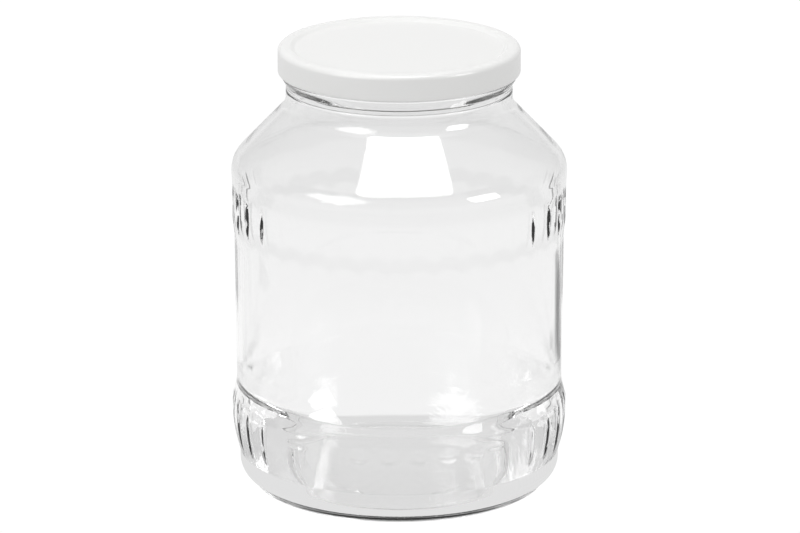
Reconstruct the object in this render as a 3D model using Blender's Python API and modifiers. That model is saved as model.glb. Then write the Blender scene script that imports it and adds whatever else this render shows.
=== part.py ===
"""Wide-mouth preserving jar: a clear glass body closed by a white enamelled twist-off lid.

The frame is +Z up, with the origin at the centre of the base and the plain front towards -Y.
Sizes at the top are in millimetres, and the meshes are in metres.
"""
import math

import bmesh
import bpy

MM = 0.001

# Glass body, outside
BEARING_IN = 60.1                        # flat ring that the jar stands on
BEARING_OUT = 65.7
UNDERSIDE_EDGE = 0.9                     # step up inside the ring, then a dome to PUSH_UP
PUSH_UP = 6.4
HEEL_CORNER_TOP = 2.2
HEEL_RADIUS = 70.0                       # long curve of the heel, up to the widest level
BAND_RADIUS = 79.3                       # widest level, in the lower band
BAND_LEVEL = 38.0
SEAM_LOW = 41.0                          # slope between the lower band and the label panel
SEAM_HIGH = 50.6
PANEL_LOW_RADIUS = 77.0
PANEL_HIGH_RADIUS = 77.65
PANEL_TOP = 125.0
RIB_RADIUS = 78.5
RIB_SLOPE_TOP = 132.2
RIB_TOP = 144.5
BULGE_RADIUS = 78.85
BULGE_LEVEL = 152.5                      # where the shoulder's curve begins
BULGE_CURVE = 13.0
CONE_ANGLE = math.radians(43.4)          # straight shoulder, measured from the axis
NECK_RADIUS = 53.1
NECK_CURVE = 9.0

# Flutes: rounded panels side by side at both sides of the jar, with a groove between each two.
# The grooves are mirrored about the plain front and fade out towards the plain back.
FLUTE_PITCH = math.radians(10.0)
FIRST_GROOVE = math.radians(43.0)
LAST_GROOVE = math.radians(123.0)
PLAIN_TO = math.radians(36.0)
FULL_FROM = math.radians(52.0)
FADE_FROM = math.radians(88.0)
FADE_TO = math.radians(120.0)
GROOVE_DEPTH = 0.8
GROOVE_HALF_WIDTH = 2.6
GROOVE_RUN_OUT = 2.6
UPPER_LOW = 127.6
UPPER_HIGH = 142.5
LOWER_LOW = 23.2
LOWER_HIGH = 39.2

# Glass body, inside
WALL = 3.2
FLOOR_EDGE = 2.9
FLOOR_CENTRE = 10.0
INNER_HEEL_RADIUS = 8.9
INNER_BAND_RADIUS = 75.6
INNER_SLOPE_LOW = 50.0                   # long soft slope behind the seam
INNER_SLOPE_HIGH = 90.0
BORE_RADIUS = 49.8
BORE_CURVE = 12.0

# Finish under the lid
FINISH_TOP = 210.7
LIP_RADIUS = 1.35
BEAD_TOP = 199.5                         # ring below the lid, rounded above with a long flank below
BEAD_LEVEL = 198.7
BEAD_LOW = 194.3
BEAD_REACH = 2.1
CREASE_LEVEL = 192.2
CREASE_DEPTH = 0.3
THREAD_COUNT = 8
THREAD_LENGTH = math.radians(33.0)
THREAD_LEVEL = 203.6
THREAD_RISE = 1.3
THREAD_PATH_RADIUS = 53.5
THREAD_SECTION = 1.2
THREAD_POINTS = 6

# Lid
LID_TOP = 212.5
LID_RADIUS = 56.8
LID_LOW = 199.7
LID_WALL = 0.7
PANEL_RECESS = 1.5
RIM_INNER = 48.4                         # foot of the slope inside the raised rim
RIM_CREST_IN = 51.4
RIM_CREST_OUT = 53.8
SEAL_LEVEL = 211.0                       # underside of the rim, with the sealing compound
CURL_RADIUS = 0.95
RIM_CORNER = 2.6                         # rounding between the raised rim and the skirt
SEAL_CORNER = 1.6
LUG_RADIUS = 53.6
LUG_HALF_COLUMNS = 1
LUG_TURN = math.radians(-15.5)           # the lug nearest the front, from -Y towards +X

JAR_COLUMNS = 60
FRONT_COLUMNS = 6                        # from the middle of the front to the first groove
FLUTE_COLUMNS = 2 * round((LAST_GROOVE - FIRST_GROOVE) / FLUTE_PITCH)
LUG_COLUMNS = 10
LID_COLUMNS = LUG_COLUMNS * THREAD_COUNT

# The shoulder's cone is tangent to the bulge's curve below it and to the neck's fillet above it
CONE_START = BULGE_LEVEL + BULGE_CURVE * math.sin(CONE_ANGLE)
CONE_START_RADIUS = BULGE_RADIUS - BULGE_CURVE * (1 - math.cos(CONE_ANGLE))
NECK_CORNER = CONE_START + (CONE_START_RADIUS - NECK_RADIUS) / math.tan(CONE_ANGLE)
NECK_TANGENT = NECK_CURVE * math.tan(CONE_ANGLE / 2)
FILLET_START = NECK_CORNER - NECK_TANGENT * math.cos(CONE_ANGLE)
NECK_START = NECK_CORNER + NECK_TANGENT


def clear_scene():
    for obj in list(bpy.data.objects):
        bpy.data.objects.remove(obj)


def new_collection(name):
    group = bpy.data.collections.new(name)
    bpy.context.scene.collection.children.link(group)
    return group


def new_material(name, colour, roughness, transmission=0.0):
    material = bpy.data.materials.new(name)
    material.use_nodes = True
    shader = material.node_tree.nodes["Principled BSDF"]
    shader.inputs["Base Color"].default_value = (*colour, 1.0)
    shader.inputs["Roughness"].default_value = roughness
    shader.inputs["Metallic"].default_value = 0.0
    shader.inputs["Transmission Weight"].default_value = transmission
    return material


def ease(value):
    """Smooth step from 0 to 1."""
    value = min(max(value, 0.0), 1.0)
    return value * value * (3 - 2 * value)


def arc(centre, radius, start, end, steps):
    """Points of an arc in the (radius, level) plane, with its angles in degrees."""
    points = []
    for step in range(steps + 1):
        angle = math.radians(start + (end - start) * step / steps)
        points.append((centre[0] + radius * math.cos(angle), centre[1] + radius * math.sin(angle)))
    return points


def crest_radius(level):
    """Outer radius of the glass below the finish, on the crests of the flutes."""
    if level >= NECK_START:
        return NECK_RADIUS
    if level >= FILLET_START:
        return NECK_RADIUS + NECK_CURVE - math.sqrt(NECK_CURVE ** 2 - (NECK_START - level) ** 2)
    if level >= CONE_START:
        return CONE_START_RADIUS - (level - CONE_START) * math.tan(CONE_ANGLE)
    if level >= BULGE_LEVEL:
        return BULGE_RADIUS - BULGE_CURVE + math.sqrt(BULGE_CURVE ** 2 - (level - BULGE_LEVEL) ** 2)
    if level >= RIB_SLOPE_TOP:
        share = ease((level - RIB_TOP) / (BULGE_LEVEL - RIB_TOP))
        return RIB_RADIUS + (BULGE_RADIUS - RIB_RADIUS) * share
    if level >= PANEL_TOP:
        share = (level - PANEL_TOP) / (RIB_SLOPE_TOP - PANEL_TOP)
        return PANEL_HIGH_RADIUS + (RIB_RADIUS - PANEL_HIGH_RADIUS) * share
    if level >= SEAM_HIGH:
        share = (level - SEAM_HIGH) / (PANEL_TOP - SEAM_HIGH)
        return PANEL_LOW_RADIUS + (PANEL_HIGH_RADIUS - PANEL_LOW_RADIUS) * share
    if level >= SEAM_LOW:
        share = ease((level - SEAM_LOW) / (SEAM_HIGH - SEAM_LOW))
        return BAND_RADIUS + (PANEL_LOW_RADIUS - BAND_RADIUS) * share
    drop = max(BAND_LEVEL - level, 0.0)
    return BAND_RADIUS - HEEL_RADIUS + math.sqrt(HEEL_RADIUS ** 2 - drop ** 2)


def run_out(level, low, high):
    """1 between two levels, fading to 0 past them."""
    return ease(1 + (level - low) / GROOVE_RUN_OUT) * ease(1 + (high - level) / GROOVE_RUN_OUT)


def side_share(turn):
    """1 where the flutes are full, 0 on the plain front and back."""
    share = ease((abs(turn) - PLAIN_TO) / (FULL_FROM - PLAIN_TO))
    return share * (1 - ease((abs(turn) - FADE_FROM) / (FADE_TO - FADE_FROM)))


def groove_depth(turn):
    """Depth of the glass below its crest, at an angle from -Y towards +X."""
    phase = (abs(turn) - FIRST_GROOVE) / FLUTE_PITCH
    distance = abs((phase + 0.5) % 1.0 - 0.5) * FLUTE_PITCH * RIB_RADIUS
    return GROOVE_DEPTH * side_share(turn) * (1 - ease(distance / GROOVE_HALF_WIDTH))


def upper_relief(turn, level):
    return groove_depth(turn) * run_out(level, UPPER_LOW, UPPER_HIGH)


def lower_relief(turn, level):
    return groove_depth(turn) * run_out(level, LOWER_LOW, LOWER_HIGH)


def upper_levels():
    return [UPPER_HIGH + GROOVE_RUN_OUT, UPPER_HIGH, 137.0, RIB_SLOPE_TOP, UPPER_LOW, UPPER_LOW - GROOVE_RUN_OUT]


def lower_levels():
    middle = (LOWER_HIGH + LOWER_LOW) / 2
    return [LOWER_HIGH + GROOVE_RUN_OUT, LOWER_HIGH, middle, LOWER_LOW, LOWER_LOW - GROOVE_RUN_OUT]


def inside_of_jar():
    """Inner surface from the middle of the floor up to the lip."""
    curve_centre = (INNER_BAND_RADIUS - INNER_HEEL_RADIUS, FLOOR_EDGE + INNER_HEEL_RADIUS)
    points = []
    for share in (0.0, 0.4, 0.75):
        radius = share * curve_centre[0]
        points.append((radius, FLOOR_EDGE + (FLOOR_CENTRE - FLOOR_EDGE) * (1 - share ** 2)))
    points += arc(curve_centre, INNER_HEEL_RADIUS, -90, 0, 4)
    points.append((INNER_BAND_RADIUS, BAND_LEVEL))
    for step in range(5):
        share = step / 4
        radius = INNER_BAND_RADIUS + (PANEL_LOW_RADIUS - WALL - INNER_BAND_RADIUS) * ease(share)
        points.append((radius, INNER_SLOPE_LOW + (INNER_SLOPE_HIGH - INNER_SLOPE_LOW) * share))
    points.append((PANEL_HIGH_RADIUS - WALL, PANEL_TOP))
    shoulder = (BULGE_RADIUS - BULGE_CURVE, BULGE_LEVEL)
    points += arc(shoulder, BULGE_CURVE - WALL, 0, math.degrees(CONE_ANGLE), 4)
    last_radius, last_level = points[-1]
    corner = last_level + (last_radius - BORE_RADIUS) / math.tan(CONE_ANGLE)
    bore_start = corner + BORE_CURVE * math.tan(CONE_ANGLE / 2)
    bend = (BORE_RADIUS + BORE_CURVE, bore_start)
    points += arc(bend, BORE_CURVE, 180 + math.degrees(CONE_ANGLE), 180, 4)
    return points


def outside_of_jar():
    """Outer surface from the lip down to the middle of the underside."""
    lip_in = (BORE_RADIUS + LIP_RADIUS, FINISH_TOP - LIP_RADIUS)
    lip_out = (NECK_RADIUS - LIP_RADIUS, FINISH_TOP - LIP_RADIUS)
    points = arc(lip_in, LIP_RADIUS, 180, 90, 2) + arc(lip_out, LIP_RADIUS, 90, 0, 2)
    points += [(NECK_RADIUS, BEAD_TOP), (NECK_RADIUS + 0.7 * BEAD_REACH, BEAD_TOP - 0.2)]
    for step in range(5):
        share = step / 4
        reach = BEAD_REACH * (1 - share ** 2) ** 0.62
        points.append((NECK_RADIUS + reach, BEAD_LEVEL + (BEAD_LOW - BEAD_LEVEL) * share))
    points.append((NECK_RADIUS, CREASE_LEVEL + 2 * CREASE_DEPTH))
    points.append((NECK_RADIUS - CREASE_DEPTH, CREASE_LEVEL))
    points.append((NECK_RADIUS, CREASE_LEVEL - 2 * CREASE_DEPTH))
    fillet = [NECK_START + (FILLET_START - NECK_START) * step / 3 for step in range(4)]
    bulge = [CONE_START + (BULGE_LEVEL - CONE_START) * step / 4 for step in range(5)]
    seam = [SEAM_HIGH + (SEAM_LOW - SEAM_HIGH) * step / 4 for step in range(4)]
    heel = [14.5, 8.3, HEEL_CORNER_TOP]
    for level in fillet + bulge + upper_levels() + seam + lower_levels() + heel:
        points.append((crest_radius(level), level))
    corner = crest_radius(HEEL_CORNER_TOP) - BEARING_OUT
    for step in (1, 2):
        angle = math.radians(30 * step)
        points.append((BEARING_OUT + corner * math.cos(angle), HEEL_CORNER_TOP * (1 - math.sin(angle))))
    points += [(BEARING_OUT, 0.0), (BEARING_IN, 0.0)]
    edge = BEARING_IN - UNDERSIDE_EDGE
    for share in (1.0, 0.7, 0.35, 0.0):
        points.append((share * edge, UNDERSIDE_EDGE + (PUSH_UP - UNDERSIDE_EDGE) * (1 - share ** 2)))
    return points


def lid_profile():
    """The lid from the middle of its top, over the skirt and the curl, to the middle inside."""
    panel = LID_TOP - PANEL_RECESS
    corner = (LID_RADIUS - RIM_CORNER, LID_TOP - RIM_CORNER)
    curl = (LID_RADIUS - CURL_RADIUS, LID_LOW + CURL_RADIUS)
    wall = LID_RADIUS - LID_WALL
    points = [(0.0, panel), (RIM_INNER, panel), (RIM_INNER + 1.0, panel + 0.3)]
    points += [(RIM_CREST_IN - 0.9, LID_TOP - 0.35), (RIM_CREST_IN, LID_TOP), (RIM_CREST_OUT, LID_TOP)]
    points += arc(corner, RIM_CORNER, 65, 0, 3)
    points += arc(curl, CURL_RADIUS, 0, -225, 5)
    points += [(wall, LID_LOW + 3.2), (wall, SEAL_LEVEL - SEAL_CORNER), (wall - SEAL_CORNER, SEAL_LEVEL)]
    points += [(RIM_INNER + 1.8, SEAL_LEVEL), (RIM_INNER + 0.5, panel - LID_WALL), (0.0, panel - LID_WALL)]
    return points


def turned(name, profile, columns, group):
    """Solid of revolution, as a plain mesh object."""
    mesh = bpy.data.meshes.new(name)
    points = [(radius * MM, 0.0, level * MM) for radius, level in profile]
    mesh.from_pydata(points, [(i, i + 1) for i in range(len(points) - 1)], [])
    obj = bpy.data.objects.new(name, mesh)
    group.objects.link(obj)
    screw = obj.modifiers.new("Turn", "SCREW")
    screw.steps = screw.render_steps = columns
    screw.use_merge_vertices = True
    screw.merge_threshold = 0.00001
    bake_modifiers(obj)
    return obj


def bake_modifiers(obj):
    bpy.context.view_layer.update()
    evaluated = obj.evaluated_get(bpy.context.evaluated_depsgraph_get())
    mesh = bpy.data.meshes.new_from_object(evaluated)
    obj.modifiers.clear()
    obj.data = mesh


def gather_columns(obj):
    """Move the jar's even columns, so that two stand in each flute and fewer on the plain sides."""
    column = 2 * math.pi / JAR_COLUMNS
    for vert in obj.data.vertices:
        radius, turn = math.hypot(vert.co.x, vert.co.y), turn_of(vert)
        count = abs(turn) / column
        if count <= FRONT_COLUMNS:
            moved = count * FIRST_GROOVE / FRONT_COLUMNS
        elif count <= FRONT_COLUMNS + FLUTE_COLUMNS:
            moved = FIRST_GROOVE + (count - FRONT_COLUMNS) * FLUTE_PITCH / 2
        else:
            rest = JAR_COLUMNS / 2 - count
            moved = math.pi - rest * (math.pi - LAST_GROOVE) / (JAR_COLUMNS / 2 - FRONT_COLUMNS - FLUTE_COLUMNS)
        moved = math.copysign(moved, turn)
        vert.co.x, vert.co.y = radius * math.sin(moved), -radius * math.cos(moved)


def turn_of(vert):
    """Angle of a vertex from -Y towards +X."""
    return math.atan2(vert.co.x, -vert.co.y)


def is_row(vert, levels):
    """Whether a vertex is on the outer surface, on one of some levels."""
    level = vert.co.z / MM
    if math.hypot(vert.co.x, vert.co.y) / MM < crest_radius(level) - WALL / 2:
        return False
    return any(abs(level - row) < 0.01 for row in levels)


def press_flutes(obj, levels, relief):
    """Double the columns along some rows, and sink each of their vertices by the relief."""
    bm = bmesh.new()
    bm.from_mesh(obj.data)
    ring = [edge for edge in bm.edges if abs(edge.verts[0].co.z - edge.verts[1].co.z) < 1e-6]
    ring = [edge for edge in ring if all(is_row(vert, levels) for vert in edge.verts)]
    bmesh.ops.subdivide_edges(bm, edges=ring, cuts=1)
    for vert in bm.verts:
        turn, level = turn_of(vert), vert.co.z / MM
        if is_row(vert, levels):
            radius = (crest_radius(level) - relief(turn, level)) * MM
            vert.co.x = radius * math.sin(turn)
            vert.co.y = -radius * math.cos(turn)
    bm.to_mesh(obj.data)
    bm.free()


def add_threads(jar, cutters):
    """Short inclined ridges round the finish, which the lid's lugs slide under."""
    curve = bpy.data.curves.new("thread_paths", "CURVE")
    curve.dimensions = "3D"
    curve.bevel_depth = THREAD_SECTION * MM
    curve.bevel_resolution = 1
    curve.use_fill_caps = True
    for thread in range(THREAD_COUNT):
        spline = curve.splines.new("POLY")
        spline.points.add(THREAD_POINTS - 1)
        middle = LUG_TURN + thread * 2 * math.pi / THREAD_COUNT
        for index, point in enumerate(spline.points):
            share = index / (THREAD_POINTS - 1)
            turn = middle + (share - 0.5) * THREAD_LENGTH
            across, along = math.sin(turn), -math.cos(turn)
            level = THREAD_LEVEL + share * THREAD_RISE
            point.co = (THREAD_PATH_RADIUS * across * MM, THREAD_PATH_RADIUS * along * MM, level * MM, 1.0)
    path = bpy.data.objects.new("thread_paths", curve)
    cutters.objects.link(path)
    bpy.context.view_layer.update()
    mesh = bpy.data.meshes.new_from_object(path.evaluated_get(bpy.context.evaluated_depsgraph_get()))
    bpy.data.objects.remove(path)
    bm = bmesh.new()
    bm.from_mesh(mesh)
    bmesh.ops.remove_doubles(bm, verts=bm.verts, dist=0.00001)
    bmesh.ops.recalc_face_normals(bm, faces=bm.faces)
    bm.to_mesh(mesh)
    bm.free()
    threads = bpy.data.objects.new("threads", mesh)
    cutters.objects.link(threads)
    threads.hide_render = True
    threads.display_type = "WIRE"
    union = jar.modifiers.new("Threads", "BOOLEAN")
    union.operation = "UNION"
    union.object = threads


def press_lugs(lid):
    """Pull the curl in at eight places, as the lugs that grip the threads."""
    bm = bmesh.new()
    bm.from_mesh(lid.data)
    curl_inside = (LID_RADIUS - CURL_RADIUS) * MM
    column = 2 * math.pi / LID_COLUMNS
    for vert in bm.verts:
        radius = math.hypot(vert.co.x, vert.co.y)
        if radius > curl_inside - 0.1 * MM or vert.co.z > (LID_LOW + 2.5) * MM:
            continue
        index = round(math.atan2(vert.co.y, vert.co.x) / column) % LUG_COLUMNS
        if min(index, LUG_COLUMNS - index) <= LUG_HALF_COLUMNS:
            vert.co.x *= LUG_RADIUS * MM / radius
            vert.co.y *= LUG_RADIUS * MM / radius
    bm.to_mesh(lid.data)
    bm.free()
    lid.rotation_euler.z = LUG_TURN - math.pi / 2


def finish_object(obj, material):
    obj.data.materials.clear()
    obj.data.materials.append(material)
    obj.data.shade_smooth()
    obj.data.set_sharp_from_angle(angle=math.radians(35))


def main():
    clear_scene()
    parts = new_collection("preserving_jar")
    cutters = new_collection("cutters")

    jar = turned("jar", inside_of_jar() + outside_of_jar(), JAR_COLUMNS, parts)
    gather_columns(jar)
    press_flutes(jar, upper_levels(), upper_relief)
    press_flutes(jar, lower_levels(), lower_relief)
    add_threads(jar, cutters)
    finish_object(jar, new_material("flint_glass", (0.93, 0.95, 0.94), 0.03, transmission=1.0))

    lid = turned("lid", lid_profile(), LID_COLUMNS, parts)
    press_lugs(lid)
    finish_object(lid, new_material("white_enamelled_steel", (0.86, 0.86, 0.85), 0.3))


main()
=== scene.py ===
import bmesh
import bpy
import math
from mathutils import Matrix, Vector, noise


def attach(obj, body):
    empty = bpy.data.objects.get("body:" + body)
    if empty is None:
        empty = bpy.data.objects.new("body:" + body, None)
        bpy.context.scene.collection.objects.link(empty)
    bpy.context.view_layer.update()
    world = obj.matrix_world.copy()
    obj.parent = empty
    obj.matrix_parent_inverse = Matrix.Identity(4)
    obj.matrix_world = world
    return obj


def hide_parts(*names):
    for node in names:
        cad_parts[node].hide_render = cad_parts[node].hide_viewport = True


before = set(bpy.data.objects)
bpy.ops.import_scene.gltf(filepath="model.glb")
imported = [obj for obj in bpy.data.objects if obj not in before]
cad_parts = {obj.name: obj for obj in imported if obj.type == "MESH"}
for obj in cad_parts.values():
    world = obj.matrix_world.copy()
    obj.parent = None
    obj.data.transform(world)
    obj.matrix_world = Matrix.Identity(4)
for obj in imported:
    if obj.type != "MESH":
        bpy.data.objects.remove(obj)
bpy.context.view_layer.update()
mm = 0.001


def fromHex(code):  # sRGB hex to linear colour
    channels = [int(code[i:i + 2], 16) / 255 for i in (1, 3, 5)]
    return [c / 12.92 if c <= 0.04045 else ((c + 0.055) / 1.055) ** 2.4 for c in channels] + [1.0]


def ease(value):  # smooth step from 0 to 1
    value = min(max(value, 0.0), 1.0)
    return value * value * (3 - 2 * value)


def fade(value, start, end):  # smooth step from 0 at the start to 1 at the end
    return ease((value - start) / (end - start))


def ramp(value, softness):  # straight step from 0 to 1 with softened ends
    value = min(max(value, 0.0), 1.0)
    steepness = 1 / (1 - softness)
    if value < softness:
        return steepness * value ** 2 / (2 * softness)
    if value > 1 - softness:
        return 1 - steepness * (1 - value) ** 2 / (2 * softness)
    return steepness * (value - softness / 2)


def spread(start, end, steps):  # evenly spaced values, both ends included
    return [start + (end - start) * i / steps for i in range(steps + 1)]


def arcPoints(centre, radius, start, end, steps):  # arc in the (radius, level) plane, angles in degrees
    turns = [math.radians(a) for a in spread(start, end, steps)]
    return [(centre[0] + radius * math.cos(a), centre[1] + radius * math.sin(a)) for a in turns]


def addNode(owner, kind, settings=None, links=None):  # an input goes by its name or its number
    node = owner.node_tree.nodes.new(kind)
    for name, value in (settings or {}).items():
        if isinstance(name, str) and hasattr(node, name):
            setattr(node, name, value)
        else:
            node.inputs[name].default_value = value
    for name, source in (links or {}).items():
        owner.node_tree.links.new(source, node.inputs[name])
    return node


def newMaterial(name):
    material = bpy.data.materials.new(name)
    material.use_nodes = True
    material.node_tree.nodes.clear()
    return material


def addPiece(name, bm, materials, sharpAngle):
    mesh = bpy.data.meshes.new(name)
    bm.to_mesh(mesh)
    bm.free()
    piece = bpy.data.objects.new(name, mesh)
    bpy.context.scene.collection.objects.link(piece)
    for material in materials:
        mesh.materials.append(material)
    mesh.shade_smooth()
    mesh.set_sharp_from_angle(angle=math.radians(sharpAngle))
    return piece


def turnOutline(outline, columns):  # spins an outline of (radius, level) in mm into a closed solid
    bm = bmesh.new()
    verts = [bm.verts.new((radius * mm, 0, level * mm)) for radius, level in outline]
    edges = [bm.edges.new(pair) for pair in zip(verts, verts[1:])]
    bmesh.ops.spin(bm, geom=verts + edges, axis=(0, 0, 1), cent=(0, 0, 0), angle=2 * math.pi,
                   steps=columns, use_merge=True)
    bmesh.ops.remove_doubles(bm, verts=bm.verts, dist=0.002 * mm)
    bmesh.ops.recalc_face_normals(bm, faces=bm.faces)
    return bm


jar = {   # levels and radii in mm
    "columns": 360,
    "bearingIn": 60.1, "bearingOut": 65.65, "undersideEdge": 0.87, "pushUp": 6.4,
    "heelCornerTop": 2.2, "heelRadius": 70.0,
    "bandRadius": 79.1, "bandLevel": 38.0,
    "seamLow": 41.0, "frontSeamLow": 45.9, "seamHigh": 50.6, "frontSeamHigh": 48.9,
    "backSeamFall": 12.0, "seamSoftness": 0.15,
    "panelLowRadius": 77.0, "panelHighRadius": 77.65, "panelTop": 125.0,
    "ribRadius": 78.5, "ribSlopeTop": 132.2, "ribTop": 144.5,
    "bulgeRadius": 78.85, "bulgeLevel": 152.5, "bulgeCurve": 13.0,
    "coneAngle": math.radians(43.4),
    "neckRadius": 53.1, "neckCurve": 9.0,
    "creaseLevel": 192.2, "creaseDepth": 0.3,
    "neckTop": 194.3, "beadLevel": 198.7, "beadTop": 199.5, "beadReach": 1.7, "sideBeadReach": 2.1,
    "finishTop": 210.7, "lipRadius": 1.35,
    # the threads under the lid, and the turn of the first one
    "threads": 8, "threadLength": math.radians(33.0), "threadLevel": 203.6, "threadRise": 1.3,
    "threadReach": 1.55, "threadHalfHeight": 1.3, "lugTurn": math.radians(-15.5),
    # upright flutes, mirrored about the front; columns crowd towards their grooves by the share crowding
    "pitch": math.radians(10.0), "firstGroove": math.radians(43.0), "crowding": 0.8,
    "flank": math.radians(33.5), "grooveDepth": 0.78, "grooveSoftness": 0.05, "grooveFloor": 0.12,
    "upperMiddle": 136.2, "upperHalf": 9.4, "lowerMiddle": 31.2, "lowerHalf": 10.6, "lowerDepth": 0.74,
    "archReach": 3.0, "lowerArchReach": 1.2,
    # degrees from the front at which a form starts to change, and where the change is complete
    "plainTo": 40.0, "fullFrom": 52.0, "fadeFrom": 88.0, "fadeTo": 120.0,   # flutes, and their end behind
    "frontSeamTo": 16.0, "sideSeamFrom": 42.0, "backSeamFrom": 92.0, "backSeamTo": 112.0,
    "evenWallFrom": 24.0, "evenWallTo": 54.0, "evenWallEnd": 142.0,
    "sideBeadFrom": 10.0, "sideBeadTo": 54.0, "crowdFrom": 28.0, "crowdTo": 38.0,
    # the inside
    "wall": 3.2, "floorEdge": 2.9, "floorCentre": 10.0, "innerHeelRadius": 8.9,
    "innerBandRadius": 75.6, "innerSlopeLow": 50.0, "innerSlopeHigh": 90.0,
    "innerSeamDrop": 1.3, "innerSeamSoftness": 0.4, "innerRibLevel": 126.0, "innerBulgeLevel": 153.0,
    "boreRadius": 49.8, "boreCurve": 12.0,
    # knurling under the bearing ring, and a row of ticks on the heel from one turn to another
    "knurlIn": 61.0, "knurlOut": 65.0, "knurlLift": 0.32, "knurlColumns": 4,
    "tickLevel": 11.6, "tickHalfHeight": 0.7, "tickLift": 0.75, "tickFrom": 49, "tickTo": 73,
    "tickColumns": 2, "highestOval": 79.22,
    # unevenness of blown glass
    "waveInside": 0.05, "waveOutside": 0.015, "waveLength": 34.0, "wavesRound": 3.1,
    "glass": "#fbfbfb", "refraction": 1.52,
}
jar["coneStart"] = jar["bulgeLevel"] + jar["bulgeCurve"] * math.sin(jar["coneAngle"])
jar["coneStartRadius"] = jar["bulgeRadius"] - jar["bulgeCurve"] * (1 - math.cos(jar["coneAngle"]))
neckCorner = jar["coneStart"] + (jar["coneStartRadius"] - jar["neckRadius"]) / math.tan(jar["coneAngle"])
neckTangent = jar["neckCurve"] * math.tan(jar["coneAngle"] / 2)
jar["filletStart"] = neckCorner - neckTangent * math.cos(jar["coneAngle"])
jar["neckStart"] = neckCorner + neckTangent


def flutePhase(turn):  # whole numbers at the grooves
    return (abs(turn) - jar["firstGroove"]) / jar["pitch"]


def grooveOffset(turn):  # distance round the jar from the nearest groove, in mm
    return abs((flutePhase(turn) + 0.5) % 1.0 - 0.5) * jar["pitch"] * jar["ribRadius"]


def cusp(turn):  # 1 at a groove, 0 in the middle of a flute
    return (1 - 2 * grooveOffset(turn) / (jar["pitch"] * jar["ribRadius"])) ** 2


def fromFront(turn):  # degrees from the front, to either side
    return abs(math.degrees(turn))


def fromPlain(turn):  # degrees from the front or from the back, whichever is nearer
    return min(fromFront(turn), 180 - fromFront(turn))


def sideShare(turn):  # flutes stand at both sides; front and back are plain label panels
    share = fade(fromPlain(turn), jar["plainTo"], jar["fullFrom"])
    if fromFront(turn) > 90:
        share *= 1 - fade(fromFront(turn), jar["fadeFrom"], jar["fadeTo"])
    return share


def seamShare(level, turn):  # 0 on the band below the seam, 1 on the panel above it
    j = jar
    front = 1 - fade(fromFront(turn), j["frontSeamTo"], j["sideSeamFrom"])
    low = j["seamLow"] + (j["frontSeamLow"] - j["seamLow"]) * front
    high = j["seamHigh"] + (j["frontSeamHigh"] - j["seamHigh"]) * front
    low -= j["backSeamFall"] * fade(fromFront(turn), j["backSeamFrom"], j["backSeamTo"])
    level += j["lowerArchReach"] * cusp(turn) * sideShare(turn) * ease((high - level) / (high - low))
    return ramp((level - low) / (high - low), j["seamSoftness"])


def crestRadius(level, turn=0.0):  # outer radius of the glass below the finish, on the crests of the flutes
    j = jar
    if level >= j["neckStart"]:
        return j["neckRadius"]
    if level >= j["filletStart"]:
        drop = j["neckStart"] - level
        return j["neckRadius"] + j["neckCurve"] - math.sqrt(j["neckCurve"] ** 2 - drop ** 2)
    if level >= j["coneStart"]:
        return j["coneStartRadius"] - (level - j["coneStart"]) * math.tan(j["coneAngle"])
    if level >= j["bulgeLevel"]:
        rise = level - j["bulgeLevel"]
        return j["bulgeRadius"] - j["bulgeCurve"] + math.sqrt(j["bulgeCurve"] ** 2 - rise ** 2)
    if level >= j["ribSlopeTop"]:
        share = fade(level, j["ribTop"], j["bulgeLevel"])
        return j["ribRadius"] + (j["bulgeRadius"] - j["ribRadius"]) * share
    if level >= j["panelTop"] - j["archReach"]:
        lifted = level + j["archReach"] * cusp(turn)
        share = (lifted - j["panelTop"]) / (j["ribSlopeTop"] - j["panelTop"])
        share = min(max(share, 0.0), 1.0)
        return j["panelHighRadius"] + (j["ribRadius"] - j["panelHighRadius"]) * share
    if level >= j["seamHigh"]:
        share = (level - j["seamHigh"]) / (j["panelTop"] - j["seamHigh"])
        return j["panelLowRadius"] + (j["panelHighRadius"] - j["panelLowRadius"]) * share
    drop = max(j["bandLevel"] - level, 0.0)
    band = j["bandRadius"] - j["heelRadius"] + math.sqrt(j["heelRadius"] ** 2 - drop ** 2)
    return band + (j["panelLowRadius"] - band) * seamShare(level, turn)


def groove(offset, depth):  # straight flanks of one angle, so that the groove narrows where it is shallow
    cut = depth - math.hypot(offset, jar["grooveFloor"]) * math.tan(jar["flank"])
    return (cut + math.hypot(cut, jar["grooveSoftness"])) / 2


def relief(turn, level):  # depth of the flutes' grooves, which run out towards both ends
    j = jar
    if level > 100:
        along, depth = (level - j["upperMiddle"]) / j["upperHalf"], j["grooveDepth"]
    else:
        along, depth = (level - j["lowerMiddle"]) / j["lowerHalf"], j["lowerDepth"]
    if abs(along) > 1:
        return 0.0
    return groove(grooveOffset(turn), depth * sideShare(turn) * (1 - along ** 4))


# plain raised ovals on the lower band: turn in degrees, level, half length, half height, lift, all in mm
ovals = [(turn, 35.4, 5.6, 4.2, 0.3) for turn in (-12.6, -2.5, 7.6, 17.7, 27.8)]
ovals += [(turn, 36.8, 5.6, 1.7, 0.35) for turn in (-36.2, 35.0)]


def ovalLift(turn, level):
    lift = 0.0
    for middle, height, halfLength, halfHeight, reach in ovals:
        along = (turn - math.radians(middle)) * jar["bandRadius"] / halfLength
        lift += reach * ease(1.25 * (1 - math.hypot(along, (level - height) / halfHeight)))
    return lift


def threadReach(turn, level):  # short inclined ridges round the finish
    step = 2 * math.pi / jar["threads"]
    offset = (turn - jar["lugTurn"] + step / 2) % step - step / 2
    along = offset / jar["threadLength"] + 0.5
    middle = jar["threadLevel"] + along * jar["threadRise"]
    ends = ease(along * 8) * ease((1 - along) * 8)
    height = 1 - ease(abs(level - middle) / jar["threadHalfHeight"])
    return jar["threadReach"] * ends * height


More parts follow.
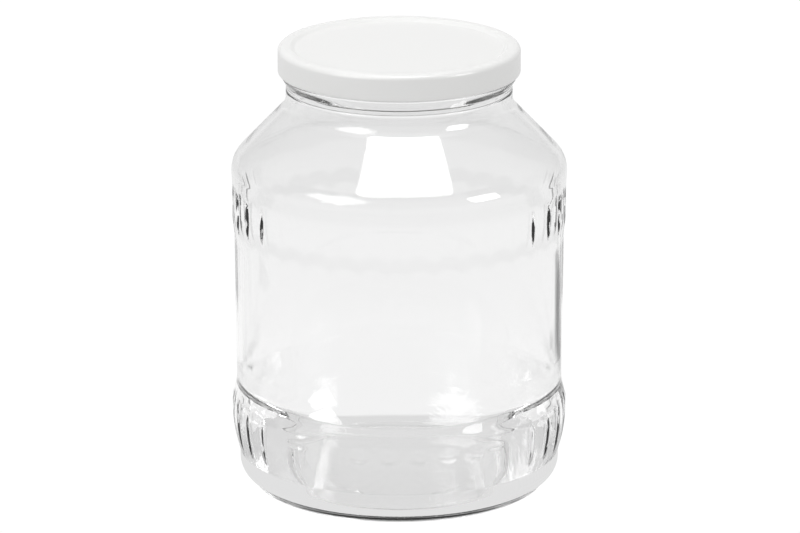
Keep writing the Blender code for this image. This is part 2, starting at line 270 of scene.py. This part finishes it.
def insideOutline():
    j = jar
    bend = (j["innerBandRadius"] - j["innerHeelRadius"], j["floorEdge"] + j["innerHeelRadius"])
    points = []
    for share in spread(0, 1, 7)[:-1]:
        swell = (j["floorCentre"] - j["floorEdge"]) * (1 - share ** 2)
        points.append((share * bend[0], j["floorEdge"] + swell))
    points += arcPoints(bend, j["innerHeelRadius"], -90, 0, 10)
    points += [(j["innerBandRadius"], level) for level in (16, 23, 31, 38, 41.5, 43.5, 45.5, 47.5)]
    low, high = j["innerBandRadius"], j["panelLowRadius"] - j["wall"]
    for level in (50, 52, 54, 58, 64, 70, 76, 83, 90):  # in front a long soft slope stands for the seam
        points.append((low + (high - low) * fade(level, j["innerSlopeLow"], j["innerSlopeHigh"]), level))
    low, high = high, j["panelHighRadius"] - j["wall"]
    for level in spread(97, j["innerRibLevel"], 3):
        share = (level - j["innerSlopeHigh"]) / (j["innerRibLevel"] - j["innerSlopeHigh"])
        points.append((low + (high - low) * share, level))
    low, high = high, j["bulgeRadius"] - j["wall"]
    for level in spread(130, 150, 5):
        points.append((low + (high - low) * fade(level, j["innerRibLevel"], j["innerBulgeLevel"]), level))
    shoulder = (j["bulgeRadius"] - j["bulgeCurve"], j["bulgeLevel"])
    points += arcPoints(shoulder, j["bulgeCurve"] - j["wall"], 0, math.degrees(j["coneAngle"]), 7)
    lastRadius, lastLevel = points[-1]
    corner = lastLevel + (lastRadius - j["boreRadius"]) / math.tan(j["coneAngle"])
    bend = (j["boreRadius"] + j["boreCurve"], corner + j["boreCurve"] * math.tan(j["coneAngle"] / 2))
    curve = arcPoints(bend, j["boreCurve"], 180 + math.degrees(j["coneAngle"]), 180, 8)
    for share in (0.25, 0.5, 0.75):
        points.append(tuple(a + (b - a) * share for a, b in zip((lastRadius, lastLevel), curve[0])))
    points += curve
    points += [(j["boreRadius"], level) for level in spread(193, 207, 3)]
    return points


def sideSlope(turn, level):  # at the sides the inside keeps the wall even past the seam
    j = jar
    facing = min(fromFront(turn), j["evenWallEnd"] - fromFront(turn))
    side = fade(facing, j["evenWallFrom"], j["evenWallTo"])
    inFront = fade(level, j["innerSlopeLow"], j["innerSlopeHigh"])
    rise = (level + j["innerSeamDrop"] - j["seamLow"]) / (j["seamHigh"] - j["seamLow"])
    step = j["panelLowRadius"] - j["wall"] - j["innerBandRadius"]
    return step * side * (ramp(rise, j["innerSeamSoftness"]) - inFront)


def ringReach(level, turn):  # rounded above; the flank below bulges in front and is a soft S at the sides
    j = jar
    side = fade(fromPlain(turn), j["sideBeadFrom"], j["sideBeadTo"])
    reach = j["beadReach"] + (j["sideBeadReach"] - j["beadReach"]) * side
    if level >= j["beadLevel"]:
        rise = min((level - j["beadLevel"]) / (j["beadTop"] - j["beadLevel"]), 1.0)
        return reach * math.sqrt(1 - rise ** 2)
    share = min((j["beadLevel"] - level) / (j["beadLevel"] - j["neckTop"]), 1.0)
    bulging = (1 - share ** 3) ** 0.45
    waved = 0.5 + 0.5 * math.cos(math.pi * share)
    return reach * (bulging + (waved - bulging) * side)


def outsideOutline():
    j = jar
    lipIn = (j["boreRadius"] + j["lipRadius"], j["finishTop"] - j["lipRadius"])
    lipOut = (j["neckRadius"] - j["lipRadius"], j["finishTop"] - j["lipRadius"])
    points = arcPoints(lipIn, j["lipRadius"], 180, 90, 5) + arcPoints(lipOut, j["lipRadius"], 90, 0, 5)
    points += [(j["neckRadius"], level) for level in spread(208.2, 200.2, 11)]
    for share in spread(0, 1, 6):  # the ring under the lid, shaped by ringReach
        rise = (j["beadTop"] - j["beadLevel"]) * math.cos(math.radians(90 * share))
        points.append((j["neckRadius"] + ringReach(j["beadLevel"] + rise, 0.0), j["beadLevel"] + rise))
    drop = j["beadLevel"] - j["neckTop"]
    for share in spread(0, 1, 14)[1:]:
        level = j["beadLevel"] - drop * share
        points.append((j["neckRadius"] + ringReach(level, 0.0), level))
    points += [(j["neckRadius"], 193.6)]
    for share in spread(-1, 1, 8):
        sink = j["creaseDepth"] * (1 - ease(abs(share)))
        points.append((j["neckRadius"] - sink, j["creaseLevel"] - share * 2 * j["creaseDepth"]))
    points += [(j["neckRadius"], 190.6)]
    # levels close together where the form turns quickly
    levels = spread(j["neckStart"], j["filletStart"], 9) + spread(j["filletStart"], j["coneStart"], 7)[1:]
    levels += spread(j["coneStart"], j["bulgeLevel"], 12)[1:] + [150.5, 148.5]
    levels += spread(147, 121, 25) + [117, 107, 96, 85, 74, 63, 57, 53]
    levels += [51, 50.2, 49.5] + spread(48.9, 45.6, 11) + spread(45, 37.9, 9) + spread(37, 18, 18)
    levels += [16.8, 15.2, 13.8, 12.5, 12.2, 11.0, 10.7, 9.2, 7.6, 6.1, 4.7, 3.4, j["heelCornerTop"]]
    points += [(crestRadius(level), level) for level in levels]
    corner = crestRadius(j["heelCornerTop"]) - j["bearingOut"]
    for angle in spread(0, 90, 8)[1:]:
        turn = math.radians(angle)
        level = j["heelCornerTop"] * (1 - math.sin(turn))
        points.append((j["bearingOut"] + corner * math.cos(turn), level))
    points += [(radius, 0.0) for radius in (65.1, 64.5, 63.4, 62.2, 61.3, 60.6, j["bearingIn"])]
    edge = j["bearingIn"] - j["undersideEdge"]
    points += [(edge + 0.57, 0.26), (edge + 0.17, 0.59)]
    for share in spread(1, 0, 10):
        swell = (j["pushUp"] - j["undersideEdge"]) * (1 - share ** 2)
        points.append((share * edge, j["undersideEdge"] + swell))
    return points


def buildJar():
    j = jar
    bm = turnOutline(insideOutline() + outsideOutline(), j["columns"])
    column = 2 * math.pi / j["columns"]
    for vert in bm.verts:
        radius = math.hypot(vert.co.x, vert.co.y) / mm
        if radius < 0.01:
            continue
        level = vert.co.z / mm
        turn = math.atan2(vert.co.x, -vert.co.y)
        index = round(turn / column)
        outside = level > 0.01 and radius > crestRadius(min(level, 190.0)) - j["wall"] / 2
        crowd = j["crowding"] * fade(level, 12, 16) * (1 - fade(level, 146, 150)) * outside
        crowd *= fade(fromPlain(turn), j["crowdFrom"], j["crowdTo"])
        shift = crowd * math.sin(2 * math.pi * flutePhase(turn)) / (2 * math.pi) * j["pitch"]
        turn -= math.copysign(shift, turn)
        if outside and 18 < level < 147.5:   # band, panel and rib
            radius += crestRadius(level, turn) - crestRadius(level) - relief(turn, level)
            if level < 45 and fromFront(turn) < 46:
                radius = max(radius, min(radius + ovalLift(turn, level), j["highestOval"]))
        elif outside and abs(level - j["tickLevel"]) < j["tickHalfHeight"]:   # heel
            if j["tickFrom"] <= math.degrees(turn) <= j["tickTo"] and index % j["tickColumns"] == 0:
                radius += j["tickLift"]
        elif not outside and 38 < level < 91:   # wall behind the seam
            radius += sideSlope(turn, level)
        elif outside and j["neckTop"] < level < j["beadTop"]:   # ring under the lid
            radius += ringReach(level, turn) - ringReach(level, 0.0)
        elif outside and 200 < level < 208.5:   # finish
            radius += threadReach(turn, level)
        side = Vector((math.sin(turn), -math.cos(turn), 0))
        if 0.3 < level < 190:   # the inside and the outside are each uneven in their own way
            place = Vector((side.x * j["wavesRound"], side.y * j["wavesRound"], level / j["waveLength"]))
            drift = 2 * noise.noise(place + Vector((7, 3, 1 + 9 * outside)))
            radius += drift * (j["waveOutside"] if outside else j["waveInside"])
        vert.co.x = radius * side.x * mm
        vert.co.y = radius * side.y * mm
        if level < 0.01 and j["knurlIn"] < radius < j["knurlOut"] and index % j["knurlColumns"] == 0:
            vert.co.z += j["knurlLift"] * mm
    return bm


# Flint glass, pressed and blown: clear, all but colourless and mirror-smooth, greyer where it is thick
def flintGlass():
    material = newMaterial("flintGlass")
    settings = {"Base Color": fromHex(jar["glass"]), "Roughness": 0.0, "IOR": jar["refraction"],
                "Transmission Weight": 1.0}
    shader = addNode(material, "ShaderNodeBsdfPrincipled", settings)
    addNode(material, "ShaderNodeOutputMaterial", links={"Surface": shader.outputs["BSDF"]})
    return material


glassJar = addPiece("glassJar", buildJar(), [flintGlass()], 40)
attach(glassJar, "root")
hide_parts("jar")
print("glass jar:", len(glassJar.data.polygons), "faces")


lid = {   # levels and radii in mm
    "columns": 360, "top": 212.5, "radius": 56.8, "low": 199.7, "sheet": 0.3,
    "recess": 1.5, "panelRadius": 48.4, "crestIn": 51.4, "crestOut": 53.8, "rimCorner": 2.6,
    "curlRadius": 0.95, "lugRadius": 53.7, "lugHalfAngle": math.radians(5.0), "lugs": 8,
    "enamel": "#e6e6e5", "orangePeel": 1.6,   # size of its bumps in mm
    "liningFrom": 202.5, "liningDark": "#84847f", "liningLight": "#94948f",
}


def lidOutline():
    panel = lid["top"] - lid["recess"]
    corner = (lid["radius"] - lid["rimCorner"], lid["top"] - lid["rimCorner"])
    curl = (lid["radius"] - lid["curlRadius"], lid["low"] + lid["curlRadius"])
    points = [(radius, panel) for radius in spread(0, lid["panelRadius"], 8)]
    for share in spread(0, 1, 10)[1:]:
        radius = lid["panelRadius"] + (lid["crestIn"] - lid["panelRadius"]) * share
        points.append((radius, panel + lid["recess"] * ease(share)))
    points += [(52.6, lid["top"]), (lid["crestOut"], lid["top"])]
    points += arcPoints(corner, lid["rimCorner"], 80, 0, 9)
    points += [(lid["radius"], level) for level in spread(209, 201.6, 5)]
    points += arcPoints(curl, lid["curlRadius"], 0, -225, 14)
    wall = lid["radius"] - lid["sheet"]
    points += [(wall, level) for level in spread(203, 209.4, 4)]
    points += arcPoints(corner, lid["rimCorner"] - lid["sheet"], 10, 80, 7)
    under = panel - lid["sheet"]
    points += [(lid["crestOut"], lid["top"] - lid["sheet"]), (lid["crestIn"], lid["top"] - lid["sheet"])]
    points += [(50.2, lid["top"] - 0.9), (lid["panelRadius"] + 0.4, under), (30, under), (0, under)]
    return points


def buildLid():
    bm = turnOutline(lidOutline(), lid["columns"])
    step = 2 * math.pi / lid["lugs"]
    curlMiddle = lid["radius"] - lid["curlRadius"]
    for vert in bm.verts:
        radius, level = math.hypot(vert.co.x, vert.co.y) / mm, vert.co.z / mm
        if level > lid["low"] + 2.2 or radius > curlMiddle:   # only the inner half of the curl has lugs
            continue
        turn = math.atan2(vert.co.x, -vert.co.y) - jar["lugTurn"]
        offset = abs((turn + step / 2) % step - step / 2)
        pull = 1 - fade(offset / lid["lugHalfAngle"], 0.75, 1.25)
        reach = (curlMiddle - radius) / lid["curlRadius"]
        wanted = radius + (lid["lugRadius"] - curlMiddle + lid["curlRadius"]) * pull * ease(reach)
        vert.co.x *= wanted / radius
        vert.co.y *= wanted / radius
    return bm


# White stoving enamel on tinplate: opaque and even, with a soft gloss and the faintest orange peel
def whiteEnamel():
    material = newMaterial("whiteEnamel")
    place = addNode(material, "ShaderNodeTexCoord")
    peel = addNode(material, "ShaderNodeTexNoise", {
        "Scale": 1 / (lid["orangePeel"] * mm), "Detail": 2.0, "Roughness": 0.5},
        {"Vector": place.outputs["Object"]})
    bump = addNode(material, "ShaderNodeBump", {"Strength": 0.06, "Distance": 0.05 * mm},
                   {"Height": peel.outputs["Fac"]})
    settings = {"Base Color": fromHex(lid["enamel"]), "Roughness": 0.32, "IOR": 1.5, "Coat Weight": 0.35,
                "Coat Roughness": 0.12}
    shader = addNode(material, "ShaderNodeBsdfPrincipled", settings, {"Normal": bump.outputs["Normal"]})
    addNode(material, "ShaderNodeOutputMaterial", links={"Surface": shader.outputs["BSDF"]})
    return material


# Clear stoving lacquer on bare tinplate, the inside of the lid: a dull even grey
def lacqueredTinplate():
    material = newMaterial("lacqueredTinplate")
    place = addNode(material, "ShaderNodeTexCoord")
    rolled = addNode(material, "ShaderNodeMapping", {"Scale": (1 / (0.4 * mm), 1 / (6 * mm), 1 / (6 * mm))},
                     {"Vector": place.outputs["Object"]})
    grain = addNode(material, "ShaderNodeTexNoise", {"Scale": 1.0, "Detail": 2.0},
                    {"Vector": rolled.outputs["Vector"]})
    colours = {"data_type": "RGBA", "A": fromHex(lid["liningDark"]), "B": fromHex(lid["liningLight"])}
    tone = addNode(material, "ShaderNodeMix", colours, {"Factor": grain.outputs["Fac"]})
    shader = addNode(material, "ShaderNodeBsdfPrincipled", {"Roughness": 0.45, "IOR": 1.5},
                     {"Base Color": tone.outputs["Result"]})
    addNode(material, "ShaderNodeOutputMaterial", links={"Surface": shader.outputs["BSDF"]})
    return material


twistLid = addPiece("twistLid", buildLid(), [whiteEnamel(), lacqueredTinplate()], 50)
for face in twistLid.data.polygons:  # everything that looks down or inwards above the curl is lining
    centre = face.center
    inwards = face.normal.x * centre.x + face.normal.y * centre.y < 0
    if centre.z > lid["liningFrom"] * mm and face.normal.z < 0.05 and (face.normal.z < -0.3 or inwards):
        face.material_index = 1
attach(twistLid, "root")
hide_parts("lid")
print("lid:", len(twistLid.data.polygons), "faces")


stage = {
    "floorRadius": 9.0, "floorLevel": -0.0004,   # in metres, a hair under the jar
    "floorGlow": 1.02,   # lit to pure white for the eye
    # painted shade on the floor, seen by the glass alone: darker under and round the jar as a painted
    # contact shadow, and dimmer far off; metres from the jar's middle, brightness
    "shade": [(0.055, 0.79), (0.07, 0.75), (0.115, 0.75), (0.135, 0.98), (0.25, 0.98), (0.4, 0.94),
              (0.6, 0.85), (0.9, 0.79)],
    # painted shadow patch: a dark spot in the floor's glow behind the jar at the right, in the glass alone:
    # its turn in degrees, its distance and half sizes in metres, the share of it that is full, and its
    # brightness
    "paintedShadePatch": {"azimuth": 141.0, "reach": 0.31, "length": 0.13, "width": 0.05, "full": 0.55, "tone": 0.3},
    # the walls and ceiling of the studio: degrees above the horizon, brightness
    "sky": [(1, 0.86), (8, 0.71), (26, 0.72), (38, 0.80), (60, 0.78)],
}


def setStops(colorRamp, stops):
    for index, (position, tone) in enumerate(stops):
        stop = colorRamp.elements[index] if index < 2 else colorRamp.elements.new(1.0)
        stop.position = position
        stop.color = (tone, tone, tone, 1)


def addFloor():
    bm = bmesh.new()
    bmesh.ops.create_circle(bm, cap_ends=True, radius=stage["floorRadius"], segments=96)
    bmesh.ops.translate(bm, verts=bm.verts, vec=(0, 0, stage["floorLevel"]))
    material = newMaterial("paleFloor")
    place = addNode(material, "ShaderNodeTexCoord")
    reach = addNode(material, "ShaderNodeVectorMath", {"operation": "LENGTH"}, {0: place.outputs["Object"]})
    # painted shade: the floor's brightness by distance from the jar, darker under and round it as a painted
    # contact shadow
    shade = addNode(material, "ShaderNodeValToRGB", links={"Fac": reach.outputs["Value"]})
    setStops(shade.color_ramp, stage["shade"])
    # painted shadow patch: a dark spot in the floor's glow that dims the painted shade where it lies
    paintedShadePatch = stage["paintedShadePatch"]
    turn = math.radians(paintedShadePatch["azimuth"])
    onShadePatch = addNode(material, "ShaderNodeMapping", {
        "vector_type": "TEXTURE", "Rotation": (0, 0, turn - math.pi / 2),
        "Location": (paintedShadePatch["reach"] * math.sin(turn), -paintedShadePatch["reach"] * math.cos(turn), 0),
        "Scale": (paintedShadePatch["length"], paintedShadePatch["width"], 1)}, {"Vector": place.outputs["Object"]})
    fromShadePatch = addNode(material, "ShaderNodeVectorMath", {"operation": "LENGTH"},
                       {0: onShadePatch.outputs["Vector"]})
    patchDarkening = addNode(material, "ShaderNodeMapRange", {
        "interpolation_type": "SMOOTHSTEP", "From Min": paintedShadePatch["full"], "From Max": 1.0,
        "To Min": paintedShadePatch["tone"], "To Max": 1.0}, {"Value": fromShadePatch.outputs["Value"]})
    dim = addNode(material, "ShaderNodeVectorMath", {"operation": "SCALE"},
                  {0: shade.outputs["Color"], "Scale": patchDarkening.outputs["Result"]})
    # the camera sees the floor an even white; every other ray sees the painted shade and the painted shadow
    # patch
    path = addNode(material, "ShaderNodeLightPath")
    white = [stage["floorGlow"]] * 3 + [1]
    tone = addNode(material, "ShaderNodeMix", {"data_type": "RGBA", "B": white},
                   {"A": dim.outputs["Vector"], "Factor": path.outputs["Is Camera Ray"]})
    glow = addNode(material, "ShaderNodeEmission", {"Strength": 1.0}, {"Color": tone.outputs["Result"]})
    addNode(material, "ShaderNodeOutputMaterial", links={"Surface": glow.outputs["Emission"]})
    floor = addPiece("floor", bm, [material], 30)


def addWorld():
    world = bpy.data.worlds.new("studio")
    bpy.context.scene.world = world
    world.use_nodes = True
    world.node_tree.nodes.clear()
    place = addNode(world, "ShaderNodeTexCoord")
    parts = addNode(world, "ShaderNodeSeparateXYZ", links={"Vector": place.outputs["Generated"]})
    dome = addNode(world, "ShaderNodeValToRGB", links={"Fac": parts.outputs["Z"]})
    setStops(dome.color_ramp, [(math.sin(math.radians(angle)), tone) for angle, tone in stage["sky"]])
    shade = addNode(world, "ShaderNodeBackground", {"Strength": 1.0}, {"Color": dome.outputs["Color"]})
    addNode(world, "ShaderNodeOutputWorld", links={"Surface": shade.outputs["Background"]})


# turn and height in degrees, distance and size in metres, power in watts; a softbox also has a shape, which
# is squarer with more squareness, and a rim at its reach, soft by its feather and ragged by its streaks
lamps = {
    "overheadSoftbox": {"turn": 8, "height": 69, "distance": 1.5, "size": (1.39, 0.475), "power": 12,
                        "squareness": 4.0, "feather": 0.2, "reach": 0.825, "streaks": 0.35},
    "leftSoftbox": {"turn": -46, "height": 30, "distance": 1.6, "size": (1.6, 1.4), "power": 26,
                    "squareness": 2.0, "feather": 0.07, "reach": 0.4, "streaks": 3.2},
    "rightSoftbox": {"turn": 63, "height": 22, "distance": 1.6, "size": (0.6, 0.62), "power": 6.5,
                     "squareness": 6.0, "feather": 0.08, "reach": 1.0, "streaks": 0.0},
    # lifts the matt white of the lid alone
    "lidFill": {"turn": -67, "height": 76, "distance": 2.0, "size": (1.2, 1.2), "power": 19},
}


def addLamp(name, box):
    light = bpy.data.lights.new(name, "AREA")
    light.shape = "RECTANGLE"
    light.size, light.size_y = box["size"]
    light.energy = box["power"]
    lamp = bpy.data.objects.new(name, light)
    bpy.context.scene.collection.objects.link(lamp)
    turn, height = math.radians(box["turn"]), math.radians(box["height"])
    back = Vector((math.sin(turn) * math.cos(height), -math.cos(turn) * math.cos(height), math.sin(height)))
    lamp.location = Vector((0, 0, 0.16)) + back * box["distance"]   # faces the shoulder of the jar
    lamp.rotation_euler = back.to_track_quat("Z", "Y").to_euler()
    return lamp


def shapeSoftbox(light, box):
    light.use_nodes = True
    light.node_tree.nodes.clear()
    place = addNode(light, "ShaderNodeNewGeometry")
    centred = addNode(light, "ShaderNodeVectorMath", {
        "operation": "MULTIPLY_ADD", 1: (2, 2, 0), 2: (-1, -1, 0)}, {0: place.outputs["Parametric"]})
    parts = addNode(light, "ShaderNodeSeparateXYZ", links={"Vector": centred.outputs["Vector"]})
    powers = []
    for axis in "XY":
        size = addNode(light, "ShaderNodeMath", {"operation": "ABSOLUTE"}, {0: parts.outputs[axis]})
        powers.append(addNode(light, "ShaderNodeMath", {"operation": "POWER", 1: box["squareness"]},
                              {0: size.outputs["Value"]}).outputs["Value"])
    total = addNode(light, "ShaderNodeMath", {"operation": "ADD"}, {0: powers[0], 1: powers[1]})
    direction = addNode(light, "ShaderNodeVectorMath", {"operation": "NORMALIZE"},
                        {0: centred.outputs["Vector"]})
    rays = addNode(light, "ShaderNodeTexNoise", {"Scale": 8.0, "Detail": 3.0, "Roughness": 0.7},
                   {"Vector": direction.outputs["Vector"]})
    ragged = addNode(light, "ShaderNodeMath", {"operation": "MULTIPLY_ADD", 1: box["streaks"]},
                     {0: rays.outputs["Fac"], 2: total.outputs["Value"]})
    edge = box["reach"] + box["streaks"] / 2
    rim = addNode(light, "ShaderNodeMapRange", {
        "interpolation_type": "SMOOTHSTEP", "From Min": edge - box["feather"], "From Max": edge,
        "To Min": 1.0, "To Max": 0.0}, {"Value": ragged.outputs["Value"]})
    glow = addNode(light, "ShaderNodeEmission", links={"Strength": rim.outputs["Result"]})
    addNode(light, "ShaderNodeOutputLight", links={"Surface": glow.outputs["Emission"]})


addFloor()
addWorld()
for name, box in lamps.items():
    lamp = addLamp(name, box)
    if name == "lidFill":
        lamp.visible_glossy = False
        lamp.visible_transmission = False
    else:
        shapeSoftbox(lamp.data, box)
        lamp.visible_diffuse = False   # these only show in the gloss
print("studio: floor, sky and", len(lamps), "lamps")


camera = {   # in metres and degrees, the lens in pixels of the image width
    "azimuth": 1.0, "distance": 2.6, "height": 0.8874, "pitch": 16.761, "sideStep": 0.00038,
    "sensor": 36.0, "focalPixels": 5750.4, "imageWidth": 800,
}


def addCamera():
    data = bpy.data.cameras.new("camera")
    data.sensor_width = camera["sensor"]
    data.lens = camera["focalPixels"] / camera["imageWidth"] * camera["sensor"]
    data.clip_start, data.clip_end = 0.1, 60
    eye = bpy.data.objects.new("camera", data)
    bpy.context.scene.collection.objects.link(eye)
    turn = math.radians(camera["azimuth"])
    side = Vector((math.cos(turn), math.sin(turn), 0))
    eye.location = Vector((math.sin(turn), -math.cos(turn), 0)) * camera["distance"]
    eye.location += side * camera["sideStep"]
    eye.location.z = camera["height"]
    eye.rotation_euler = (math.radians(90 - camera["pitch"]), 0, turn)
    bpy.context.scene.camera = eye
    print("camera:", round(data.lens), "mm lens")


addCamera()
scene = bpy.context.scene
scene.view_settings.view_transform = "Standard"
scene.cycles.max_bounces = 24
scene.cycles.transmission_bounces = 20
scene.cycles.glossy_bounces = 7   # light caught inside the glass ends dark
scene.cycles.caustics_reflective = False
scene.cycles.sample_clamp_indirect = 0.0
